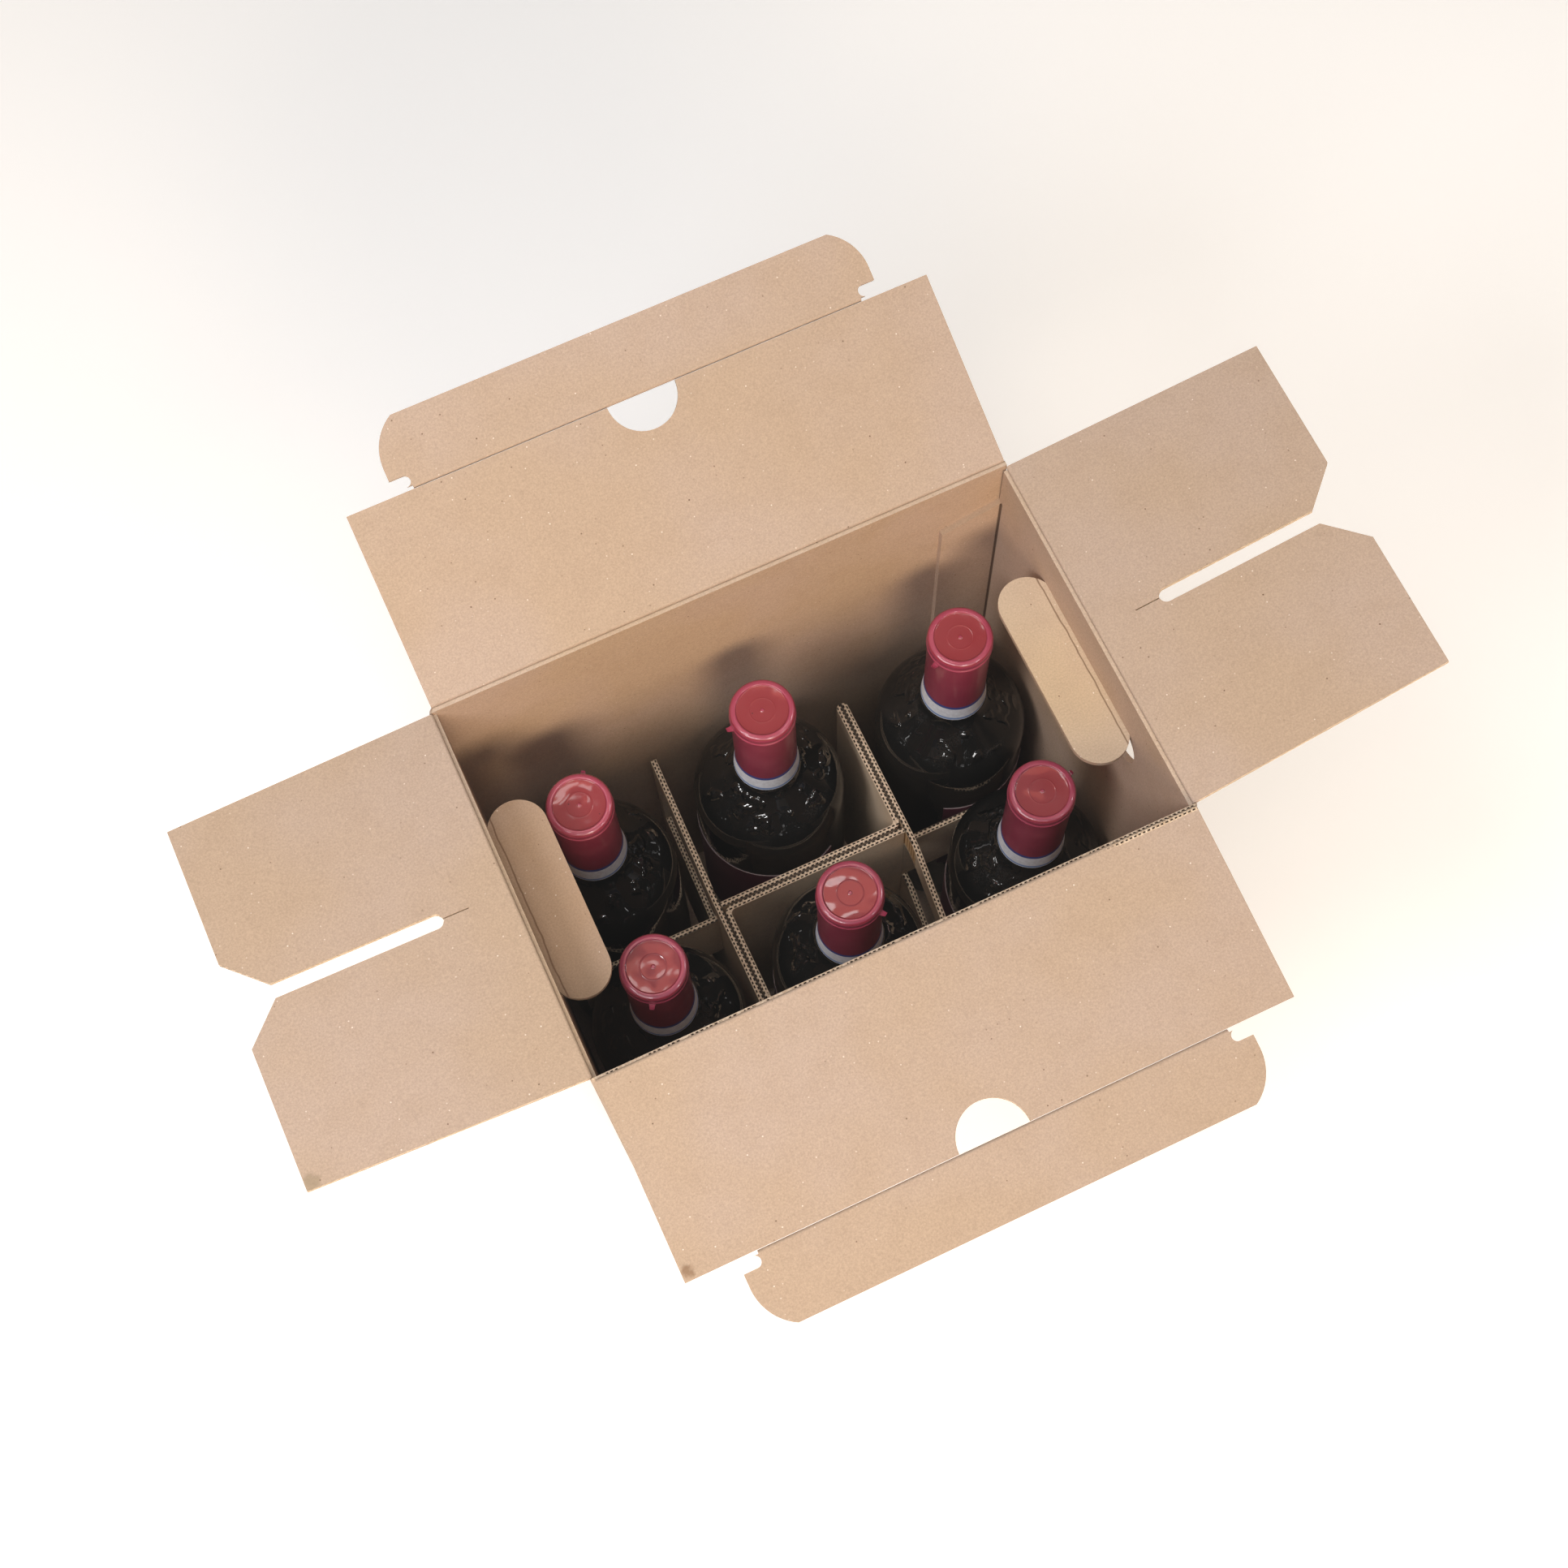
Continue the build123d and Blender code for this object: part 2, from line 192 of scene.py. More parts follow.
def new_material(name: str) -> tuple[Material, Node, Adder]:
    """Start a material with a Principled shader.

    Args:
        name: Name of the material.

    Returns:
        The material, its Principled node and the call that adds a node to it.
    """
    material = bpy.data.materials.new(name)
    material.use_nodes = True
    tree = material.node_tree
    return material, tree.nodes["Principled BSDF"], partial(add_node, tree)


@dataclass(frozen=True)
class SheetFrame:
    """Directions of one flat panel of board, at rest, for patterns that follow the board.

    origin is a point on the panel's middle plane, along crosses the flutes, out follows them and
    normal stands on the panel.
    """

    origin: Point
    along: Point
    out: Point
    normal: Point

    def sockets(self, add: Adder) -> tuple[NodeSocket, ...]:
        """Give the distances along, out and through the panel."""
        moved = add(Kind.V_SUBTRACT, (place_mm(add), self.origin))
        return tuple(add(Kind.V_DOT, (moved, a)) for a in (self.along, self.out, self.normal))

    def point(self, along: float, out: float) -> Point:
        """Give the point on the panel at distances along and out."""
        return tuple(Vector(self.origin) + Vector(self.along) * along + Vector(self.out) * out)


@dataclass(frozen=True)
class Paint:
    """What a board finish gives its shader: sockets for colour and for height."""

    colour: NodeSocket
    height: NodeSocket


@dataclass(frozen=True)
class BoardFinish:
    """Matt finish of paper or board, painted in its own way by each kind."""

    name: str
    roughness: ClassVar[float] = 0.88
    sheen: ClassVar[float] = 0.2

    def paint(self, add: Adder) -> Paint:
        """Add the colour and relief, in each kind of finish."""
        raise NotImplementedError

    def build(self) -> Material:
        """Build the material.

        Returns:
            The material.
        """
        material, shader, add = new_material(self.name)
        paint = self.paint(add)
        bump = add(Kind.BUMP, {"Height": paint.height, "Strength": 0.3, "Distance": 0.1 * MM})
        constants = {"Roughness": self.roughness, "Specular IOR Level": self.sheen}
        wire(shader, {"Base Color": paint.colour, "Normal": bump, **constants})
        return material


@dataclass(frozen=True)
class Scuff:
    """Worn spot on a panel, where paper is crushed or torn round a point.

    On a bent corner its tone is partly a painted shade of the fold.
    """

    place: Point
    radius: float
    tone: str
    wrinkle: float = 6.0


@dataclass(frozen=True)
class CreaseShadow:
    """Upright crease in a corner, with a painted shadow along it where the paper is pressed in."""

    x: float
    y: float
    low: float
    high: float
    wide: float = 1.3
    tone: str = "#4A3627"


@dataclass(frozen=True)
class KraftLiner(BoardFinish):
    """Face of corrugated board: recycled kraft paper, pressed over flutes.

    Matt, with short fibres a millimetre long, pale and dark flecks of a third of a millimetre, and
    a faint washboard from the flutes behind it. The flecks are drawn a little larger than real, to
    show at all, and a cell is their mean distance.
    """

    light: str = "#B9A596"
    warm: str = "#B8A28D"
    deep: str = "#AE9884"
    fleck_dark: str = "#5E4533"
    fleck_pale: str = "#EDE3D9"
    dark_share: float = 0.4
    pale_share: float = 0.5
    dark_cell: float = 5.2
    pale_cell: float = 4.1
    drift_size: float = 90.0
    cloud_size: float = 14.0
    fibre_size: float = 0.9
    flute_pitch: float = 2.0
    flute_relief: float = 0.1
    torn_size: float = 2.5
    scuffs: tuple[Scuff, ...] = ()
    crease_shadows: tuple[CreaseShadow, ...] = ()

    def paint(self, add: Adder) -> Paint:
        """Add the paper's colour and relief.

        Args:
            add: Adds a node to the material.

        Returns:
            Its colour and height sockets.
        """
        mm = place_mm(add)
        # Broad drifts of tone, then clouds of pulp, then the fibres' grain
        drift = add(Kind.NOISE, {"Vector": mm, "Scale": 1 / self.drift_size, "Detail": 2.0})
        drift = add(Kind.EASE, (drift, 0.35, 0.65))
        colour = add(Kind.BLEND, {0: drift, 6: self.light, 7: self.warm})
        cloud = add(Kind.NOISE, {"Vector": mm, "Scale": 1 / self.cloud_size, "Detail": 4.0})
        cloud = add(Kind.EASE, (cloud, 0.4, 0.75, 0.0, 0.25))
        colour = add(Kind.BLEND, {0: cloud, 6: colour, 7: self.deep})
        fibre = {"Vector": mm, "Scale": 1 / self.fibre_size, "Detail": 3.0, "Roughness": 0.75}
        fibres = add(Kind.NOISE, fibre)
        grain = add(Kind.RANGE, (fibres, 0.3, 0.7, 0.84, 1.12))
        colour = add(Kind.BLEND, {0: 1.0, 6: colour, 7: grain}, blend_type="MULTIPLY")
        # Flecks reach a tenth of their cell
        for cell, reach, share, fleck in (
            (self.dark_cell, 0.1, self.dark_share, self.fleck_dark),
            (self.pale_cell, 0.11, self.pale_share, self.fleck_pale),
        ):
            away = add(Kind.CELLS, {"Vector": mm, "Scale": 1 / cell}, "Distance")
            draw = add(Kind.RGB_PARTS, (away.node.outputs["Color"],))
            some = add(Kind.LESS_THAN, (draw, share))
            near = add(Kind.EASE, (away, reach, 0.4 * reach))
            depth = add(Kind.MULTIPLY, (some, draw.node.outputs[1]))
            depth = add(Kind.MULTIPLY, (depth, near))
            colour = add(Kind.BLEND, {0: depth, 6: colour, 7: fleck})
        across = add(Kind.V_DOT, (mm, (1.0, 1.0, 0.0)))
        turn = add(Kind.MULTIPLY, (across, 2 * pi / self.flute_pitch))
        ridges = add(Kind.SINE, (turn,))
        height = add(Kind.MULTIPLY_ADD, (ridges, self.flute_relief, fibres))
        for scuff in self.scuffs:
            ragged = add(Kind.NOISE, {"Vector": mm, "Scale": 1 / self.torn_size, "Detail": 3.0})
            away = add(Kind.V_DISTANCE, (mm, scuff.place))
            away = add(Kind.MULTIPLY_ADD, (ragged, scuff.radius, away))
            worn = add(Kind.EASE, (away, 1.5 * scuff.radius, 0.9 * scuff.radius, 0.0, 0.85))
            colour = add(Kind.BLEND, {0: worn, 6: colour, 7: scuff.tone})
            fold = add(Kind.MULTIPLY, (worn, ragged))
            height = add(Kind.MULTIPLY_ADD, (fold, scuff.wrinkle, height))
        # Painted shadow: a dark line down each upright corner crease, between two heights
        for crease in self.crease_shadows:
            offset = add(Kind.V_SUBTRACT, (mm, (crease.x, crease.y, 0.0)))
            away = add(Kind.V_LENGTH, (add(Kind.V_MULTIPLY, (offset, (1.0, 1.0, 0.0))),))
            up = add(Kind.XYZ_PARTS, (mm,), "Z")
            above = add(Kind.GREATER_THAN, (up, crease.low))
            here = add(Kind.MULTIPLY, (above, add(Kind.LESS_THAN, (up, crease.high))))
            line = add(Kind.EASE, (away, crease.wide, 0.4 * crease.wide, 0.0, 0.9))
            line = add(Kind.MULTIPLY, (line, here))
            colour = add(Kind.BLEND, {0: line, 6: colour, 7: crease.tone})
        return Paint(colour, height)


@dataclass(frozen=True)
class RawEdge(BoardFinish):
    """Cut edge of the double-wall board: three liners with two rows of flutes between them.

    A cut across the flutes looks into their mouths, which are painted dark as shade and stand as
    dashes in two rows; a cut along them shows torn, layered paper. The flutes stand 1.8 mm apart,
    and are drawn coarser to show at all. mouth is where on the flutes' wave paper turns to hole,
    and row is where a row lies, in shares of the board from its middle. open_first and open_last
    are the shares of mouths that are not pressed shut at the ends of the run. gap_side is the sign
    of the side on which the next ply stands, gap_wide is the reach of the shadow there and
    gap_light the light left in it.
    """

    sheet: SheetFrame
    cut: Cut = Cut.ACROSS_FLUTES
    board: float = 3.0
    pitch: float = 2.2
    mouth: tuple[float, float] = (-0.45, 0.15)
    row: tuple[float, float] = (0.135, 0.36)
    run: float = 145.0
    open_first: float = 1.0
    open_last: float = 1.0
    gap_side: int = 0
    gap_wide: float = 0.6
    gap_light: float = 0.12
    paper: str = "#C2AA90"
    ply: str = "#DFCCB5"
    # Painted shade: tone of the flute mouths
    hollow_shade: str = "#2E2017"
    wander_size: float = 5.0
    pulp_size: float = 1.1
    torn_depth: float = 0.4
    relief: float = 4.0
    roughness: ClassVar[float] = 0.9

    def paint(self, add: Adder) -> Paint:
        """Add the edge's colour and relief.

        Args:
            add: Adds a node to the material.

        Returns:
            Its colour and height sockets.
        """
        along, _, through = self.sheet.sockets(add)
        mm = place_mm(add)
        # Mouths: the two rows are staggered, lean apart and wander a little
        wander = add(Kind.NOISE, {"Vector": mm, "Scale": 1 / self.wander_size, "Detail": 2.0})
        wobble = add(Kind.MULTIPLY_ADD, (wander, 1.5, along))
        side = add(Kind.SIGN, (through,))
        place = add(Kind.MULTIPLY_ADD, (side, 0.23 * self.pitch, wobble))
        depth = add(Kind.ABSOLUTE, (through,))
        lean = add(Kind.MULTIPLY, (depth, 0.5))
        turn = add(Kind.MULTIPLY_ADD, (place, 2 * pi / self.pitch, lean))
        wave = add(Kind.SINE, (turn,))
        mouth = add(Kind.EASE, (wave, *self.mouth))
        start, end = (share * self.board for share in self.row)
        inner = add(Kind.EASE, (depth, start - 0.08, start + 0.08))
        outer = add(Kind.EASE, (depth, end + 0.09, end - 0.09))
        row = add(Kind.MULTIPLY, (inner, outer))
        hole = add(Kind.MULTIPLY, (row, mouth))
        if self.cut is Cut.ALONG_FLUTES:
            hole = add(Kind.MULTIPLY, (hole, self.torn_depth))
        # Where the edge was pressed, only the noise's lowest spots stay open
        first, last = (0.66 - 0.36 * share for share in (self.open_first, self.open_last))
        shut = add(Kind.RANGE, (along, -self.run, self.run, first, last))
        pressed = add(Kind.SUBTRACT, (shut, wander))
        pressed = add(Kind.EASE, (pressed, 0.04, -0.03))
        hole = add(Kind.MULTIPLY, (hole, pressed))
        solid = add(Kind.SUBTRACT, (1.0, hole))
        if self.gap_side:
            beside = add(Kind.MULTIPLY, (through, float(self.gap_side)))
            face = self.board / 2
            lit = add(Kind.EASE, (beside, face, face - self.gap_wide, self.gap_light, 1.0))
            solid = add(Kind.MULTIPLY, (solid, lit))
        pulp = add(Kind.NOISE, {"Vector": mm, "Scale": 1 / self.pulp_size, "Detail": 2.0})
        pulp = add(Kind.EASE, (pulp, 0.35, 0.65))
        paper = add(Kind.BLEND, {0: pulp, 6: self.paper, 7: self.ply})
        # Painted shade: the flute mouths take the dark hollow tone
        colour = add(Kind.BLEND, {0: solid, 6: self.hollow_shade, 7: paper})
        return Paint(colour, add(Kind.MULTIPLY, (solid, self.relief)))


@dataclass(frozen=True)
class BareCrease(BoardFinish):
    """Liner of a flap whose crease has cracked open at one end, so that the flutes show there.

    The flutes show from bare_from to the flap's end, and thin out before that.
    """

    liner: KraftLiner
    edge: RawEdge
    bare_from: float = 108.0
    fade: float = 14.0
    bare_out: float = 1.5
    torn_size: float = 1.5
    torn_along: float = 30.0

    def paint(self, add: Adder) -> Paint:
        """Add the liner's colour and relief, with the bare flutes.

        Args:
            add: Adds a node to the material.

        Returns:
            Its colour and height sockets.
        """
        liner, edge = self.liner.paint(add), self.edge.paint(add)
        along, _, through = self.edge.sheet.sockets(add)
        torn = {"Vector": place_mm(add), "Scale": 1 / self.torn_size, "Detail": 2.0}
        ragged = add(Kind.MULTIPLY_ADD, (add(Kind.NOISE, torn), 0.8, -0.4))
        reach = add(Kind.ADD, (through, ragged))
        reach = add(Kind.ABSOLUTE, (reach,))
        here = add(Kind.EASE, (reach, self.bare_out + 0.15, self.bare_out - 0.1))
        place = add(Kind.MULTIPLY_ADD, (ragged, self.torn_along, along))
        bare = add(Kind.EASE, (place, self.bare_from - self.fade, self.bare_from))
        mask = add(Kind.MULTIPLY, (here, bare))
        colour = add(Kind.BLEND, {0: mask, 6: liner.colour, 7: edge.colour})
        height = add(Kind.MULTIPLY_ADD, (mask, edge.height, liner.height))
        return Paint(colour, height)


@dataclass(frozen=True)
class CreasedFlap(BoardFinish):
    """Liner of a pushed-in hand-hole flap, with a pressed line beside its crease, its groove
    painted dark as shade.

    The line wanders up to wander out from line_out, and is a groove of the given relief.
    """

    liner: KraftLiner
    sheet: SheetFrame
    line_out: float = 5.5
    line_wide: float = 0.35
    groove_shade_tone: str = "#6B4F3B"
    wander: float = 2.0
    wander_size: float = 12.0
    relief: float = -3.0

    def paint(self, add: Adder) -> Paint:
        """Add the liner's colour and relief, with the pressed line.

        Args:
            add: Adds a node to the material.

        Returns:
            Its colour and height sockets.
        """
        liner = self.liner.paint(add)
        _, out, _ = self.sheet.sockets(add)
        drift = {"Vector": place_mm(add), "Scale": 1 / self.wander_size, "Detail": 2.0}
        place = add(Kind.MULTIPLY_ADD, (add(Kind.NOISE, drift), self.wander, out))
        away = add(Kind.SUBTRACT, (place, self.line_out + self.wander / 2))
        away = add(Kind.ABSOLUTE, (away,))
        line = add(Kind.EASE, (away, 1.6 * self.line_wide, 0.5 * self.line_wide, 0.0, 0.7))
        # Painted shade: the pressed line's groove is drawn in a dark tone
        colour = add(Kind.BLEND, {0: line, 6: liner.colour, 7: self.groove_shade_tone})
        height = add(Kind.MULTIPLY_ADD, (line, self.relief, liner.height))
        return Paint(colour, height)


@dataclass(frozen=True)
class TornLiner(BoardFinish):
    """Divider liner with one torn spot, where the tan flutes under it show as stripes."""

    liner: KraftLiner
    middle: Point
    reach: Point
    crest: str = "#C9A478"
    valley: str = "#A07A4E"
    pitch: float = 2.6
    torn_size: float = 3.0
    relief: float = 4.0

    def paint(self, add: Adder) -> Paint:
        """Add the liner's colour and relief, with the torn spot.

        Args:
            add: Adds a node to the material.

        Returns:
            Its colour and height sockets.
        """
        liner = self.liner.paint(add)
        mm = place_mm(add)
        torn = add(Kind.NOISE, {"Vector": mm, "Scale": 1 / self.torn_size, "Detail": 3.0})
        offset = add(Kind.V_SUBTRACT, (mm, self.middle))
        size = add(Kind.V_ABSOLUTE, (offset,))
        share = add(Kind.V_DIVIDE, (size, self.reach))
        x = add(Kind.XYZ_PARTS, (share,))
        far = add(Kind.MAXIMUM, (x, x.node.outputs["Y"]))
        far = add(Kind.MAXIMUM, (far, x.node.outputs["Z"]))
        far = add(Kind.MULTIPLY_ADD, (torn, 0.9, far))
        mask = add(Kind.EASE, (far, 1.5, 1.38))
        y = add(Kind.XYZ_PARTS, (mm,), "Y")
        turn = add(Kind.MULTIPLY, (y, 2 * pi / self.pitch))
        wave = add(Kind.SINE, (turn,))
        stripe = add(Kind.EASE, (wave, -0.6, 0.4))
        bare = add(Kind.BLEND, {0: stripe, 6: self.valley, 7: self.crest})
        colour = add(Kind.BLEND, {0: mask, 6: liner.colour, 7: bare})
        relief = add(Kind.MULTIPLY_ADD, (stripe, self.relief, liner.height))
        return Paint(colour, add(Kind.MIX, {0: mask, 2: liner.height, 3: relief}))


@dataclass(frozen=True)
class BottleGlass:
    """Dark green glass full of red wine: charcoal to the eye, with a hard gloss and a film of dust.

    The dust lies on what faces up, in patches, and dulls the reflection there. The blown shoulder
    is dimpled round the root of the neck, so the lamps break into clusters of glints there.
    """

    name: str = "dark_bottle_glass"
    body: str = "#161615"
    dust: str = "#5A5855"
    dust_show: float = 0.55
    patch_size: float = 18.0
    grit_size: float = 0.8
    root_low: float = 213.0
    root_high: float = 236.0
    root_fade: float = 6.0
    dimple_size: float = 11.0
    ripple_size: float = 6.0
    ripple_deep: float = 3.0
    ripple_left: float = 0.04

    def build(self) -> Material:
        """Build the material.

        Returns:
            The material.
        """
        material, shader, add = new_material(self.name)
        mm = place_mm(add)
        patch = {"Vector": mm, "Scale": 1 / self.patch_size, "Detail": 4.0, "Roughness": 0.6}
        patches = add(Kind.EASE, (add(Kind.NOISE, patch), 0.5, 0.68))
        grit = {"Vector": mm, "Scale": 1 / self.grit_size, "Detail": 3.0, "Roughness": 0.8}
        grit = add(Kind.EASE, (add(Kind.NOISE, grit), 0.4, 0.75))
        facing = add(Kind.XYZ_PARTS, (add(Kind.SURFACE, output="Normal"),), "Z")
        upward = add(Kind.EASE, (facing, 0.3, 0.9))
        film = add(Kind.MULTIPLY_ADD, (patches, 0.85, 0.15))
        film = add(Kind.MULTIPLY, (film, upward))
        dusty = add(Kind.MULTIPLY, (grit, film))
        dusty = add(Kind.MULTIPLY, (dusty, self.dust_show))
        colour = add(Kind.BLEND, {0: dusty, 6: self.body, 7: self.dust})
        rough = add(Kind.MULTIPLY, (patches, upward))
        rough = add(Kind.MULTIPLY_ADD, (rough, 0.05, 0.015))
        # Dimples only between the two heights, and hardly any ripple elsewhere
        high = add(Kind.XYZ_PARTS, (mm,), "Z")
        rise = add(Kind.EASE, (high, self.root_low, self.root_low + self.root_fade))
        fall = add(Kind.EASE, (high, self.root_high, self.root_high - self.root_fade))
        root = add(Kind.MULTIPLY, (rise, fall))
        spots = add(Kind.NOISE, {"Vector": mm, "Scale": 1 / self.dimple_size, "Detail": 1.0})
        spots = add(Kind.EASE, (spots, 0.54, 0.64))
        dimples = add(Kind.MULTIPLY, (root, spots))
        dimples = add(Kind.MULTIPLY_ADD, (dimples, 1 - self.ripple_left, self.ripple_left))
        ripple = add(Kind.NOISE, {"Vector": mm, "Scale": 1 / self.ripple_size, "Detail": 1.0})
        ripple = add(Kind.MULTIPLY, (ripple, dimples))
        deep = self.ripple_deep * MM
        bump = add(Kind.BUMP, {"Height": ripple, "Strength": 1.0, "Distance": deep})
        wire(shader, {"Base Color": colour, "Roughness": rough, "Normal": bump})
        wire(shader, {"IOR": 1.52, "Specular IOR Level": 0.5})
        return material


@dataclass(frozen=True)
class CapsuleFilm:
    """Heat-shrunk crimson film with a lacquer coat: drawn tight and smooth on the skirt.

    On the sunk disc it is slack and pricked, so the lamps break into wedges there, and it is
    painted darker as shade against the light from above.
    """

    name: str = "shrunk_crimson_film"
    red: str = "#9B3952"
    worn: str = "#AB4E62"
    disc: str = "#872930"
    prick: str = "#3A0D14"
    disc_high: float = 305.1
    rim_high: float = 305.5
    slack_size: float = 15.0
    slack_deep: float = 1.2
    prick_cell: float = 11.0

    def build(self) -> Material:
        """Build the material.

        Returns:
            The material.
        """
        material, shader, add = new_material(self.name)
        mm = place_mm(add)
        slack = add(Kind.NOISE, {"Vector": mm, "Scale": 1 / self.slack_size, "Detail": 1.0})
        high = add(Kind.XYZ_PARTS, (mm,), "Z")
        above = add(Kind.GREATER_THAN, (high, self.disc_high))
        below = add(Kind.EASE, (high, self.rim_high + 0.1, self.rim_high - 0.1))
        disc = add(Kind.MULTIPLY, (above, below))
        wear = add(Kind.EASE, (slack, 0.45, 0.75, 0.0, 0.5))
        colour = add(Kind.BLEND, {0: wear, 6: self.red, 7: self.worn})
        # Painted shade: the up-facing disc is drawn darker than the skirt
        colour = add(Kind.BLEND, {0: disc, 6: colour, 7: self.disc})
        away = add(Kind.CELLS, {"Vector": mm, "Scale": 1 / self.prick_cell}, "Distance")
        prick = add(Kind.EASE, (away, 0.04, 0.02))
        prick = add(Kind.MULTIPLY, (prick, disc))
        colour = add(Kind.BLEND, {0: prick, 6: colour, 7: self.prick})
        rough = add(Kind.RANGE, (slack, 0.3, 0.7, 0.3, 0.42))
        pull = add(Kind.MULTIPLY_ADD, (disc, 0.8, 0.2))
        pull = add(Kind.MULTIPLY, (pull, slack))
        deep = self.slack_deep * MM
        loose = add(Kind.BUMP, {"Height": pull, "Strength": 0.6, "Distance": deep})
        wire(shader, {"Base Color": colour, "Roughness": rough, "Coat Normal": loose})
        wire(shader, {"Specular IOR Level": 0.35, "Coat Weight": 0.55, "Coat Roughness": 0.06})
        return material


@dataclass(frozen=True)
class BandPaper:
    """Coated paper strip round the neck, with a blue border along its top and a paler one below."""

    name: str = "pale_band_paper"
    paper: str = "#ECF1F9"
    border_top: str = "#3F4C93"
    border_foot: str = "#7F9FD0"
    foot: float = 237.95
    top: float = 251.95
    top_wide: float = 2.3
    foot_from: float = 0.6
    foot_to: float = 2.4
    pulp_size: float = 2.0
    blur: float = 0.2

    def build(self) -> Material:
        """Build the material.

        Returns:
            The material.
        """
        material, shader, add = new_material(self.name)
        mm = place_mm(add)
        high = add(Kind.XYZ_PARTS, (mm,), "Z")
        pulp = add(Kind.NOISE, {"Vector": mm, "Scale": 1 / self.pulp_size})
        shade = add(Kind.RANGE, (pulp, 0.3, 0.7, 0.86, 1.04))
        colour = add(Kind.BLEND, {0: 1.0, 6: self.paper, 7: shade}, blend_type="MULTIPLY")
        line = self.top - self.top_wide
        start, stop = self.foot + self.foot_from, self.foot + self.foot_to
        upper = add(Kind.EASE, (high, line - self.blur, line + self.blur))
        colour = add(Kind.BLEND, {0: upper, 6: colour, 7: self.border_top})
        rise = add(Kind.EASE, (high, start - self.blur, start + self.blur))
        fall = add(Kind.EASE, (high, stop + self.blur, stop - self.blur))
        lower = add(Kind.MULTIPLY, (rise, fall))
        colour = add(Kind.BLEND, {0: lower, 6: colour, 7: self.border_foot})
        wire(shader, {"Base Color": colour, "Roughness": 0.5})
        return material


@dataclass(frozen=True)
class LabelPaper:
    """Coated wine-red label paper, with a pale line along its top."""

    name: str = "wine_red_label_paper"
    red: str = "#64243B"
    edge: str = "#B5A0A2"
    top: float = 166.0
    edge_high: float = 0.7
    pulp_size: float = 1.4

    def build(self) -> Material:
        """Build the material.

        Returns:
            The material.
        """
        material, shader, add = new_material(self.name)
        mm = place_mm(add)
        high = add(Kind.XYZ_PARTS, (mm,), "Z")
        pulp = add(Kind.NOISE, {"Vector": mm, "Scale": 1 / self.pulp_size})
        shade = add(Kind.RANGE, (pulp, 0.0, 1.0, 0.7, 1.3))
        colour = add(Kind.BLEND, {0: 1.0, 6: self.red, 7: shade}, blend_type="MULTIPLY")
        line = add(Kind.GREATER_THAN, (high, self.top - self.edge_high))
        colour = add(Kind.BLEND, {0: line, 6: colour, 7: self.edge})
        wire(shader, {"Base Color": colour, "Roughness": 0.4})
        return material


def dress(node: str, choose: Callable[[Vector, Vector], Material]) -> None:
    """Give each face of a CAD node its material.

    Args:
        node: Name of the node.
        choose: Gives the material from a face's middle in millimetres and its normal.
    """
    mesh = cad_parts[node].data
    chosen = [choose(face.center / MM, face.normal) for face in mesh.polygons]
    materials = list(dict.fromkeys(chosen))
    mesh.materials.clear()
    for material in materials:
        mesh.materials.append(material)
    for face, material in zip(mesh.polygons, chosen):
        face.material_index = materials.index(material)
    LOG.info("dressed %s", node)


def pick_none() -> None:
    """Leave object mode's selection empty, so that an operator acts on the new piece alone."""
    if bpy.context.object and bpy.context.object.mode != "OBJECT":
        bpy.ops.object.mode_set(mode="OBJECT")
    bpy.ops.object.select_all(action="DESELECT")


def pick_faces(piece: Object, wanted: Callable[[Vector, Vector], bool]) -> None:
    """Select the faces of a piece in edit mode by their place or direction.

    Args:
        piece: Object in edit mode.
        wanted: Says from a face's middle and normal whether it is selected.
    """
    bpy.ops.mesh.select_mode(type="FACE")
    bpy.ops.mesh.select_all(action="DESELECT")
    bpy.ops.object.mode_set(mode="OBJECT")
    for face in piece.data.polygons:
        face.select = wanted(face.center, face.normal)
    bpy.ops.object.mode_set(mode="EDIT")


def rounded(corners: Sequence[Point], steps: int = 8) -> list[tuple[float, float]]:
    """Round the corners of an open profile.

    Args:
        corners: Radius and height of each corner, and of the arc that rounds it; an arc of 0
            keeps it sharp.
        steps: Stretches in each arc.

    Returns:
        The profile with arcs in place of its corners.
    """
    points = [Vector(corner[:2]) for corner in corners]
    result = [corners[0][:2]]
    for before, here, after, corner in zip(points, points[1:], points[2:], corners[1:]):
        radius = corner[2]
        if radius <= 0:
            result.append(corner[:2])
            continue
        back, on = (before - here).normalized(), (after - here).normalized()
        turn = back.angle(on)
        reach = radius * cos(turn / 2) / sin(turn / 2)
        middle = here + (back + on).normalized() * radius / sin(turn / 2)
        first, last = here + back * reach - middle, here + on * reach - middle
        sweep = first.angle(last)
        for i in range(steps + 1):
            share = i / steps
            spoke = (first * sin((1 - share) * sweep) + last * sin(share * sweep)) / sin(sweep)
            result.append(tuple(middle + spoke))
    result.append(corners[-1][:2])
    return result


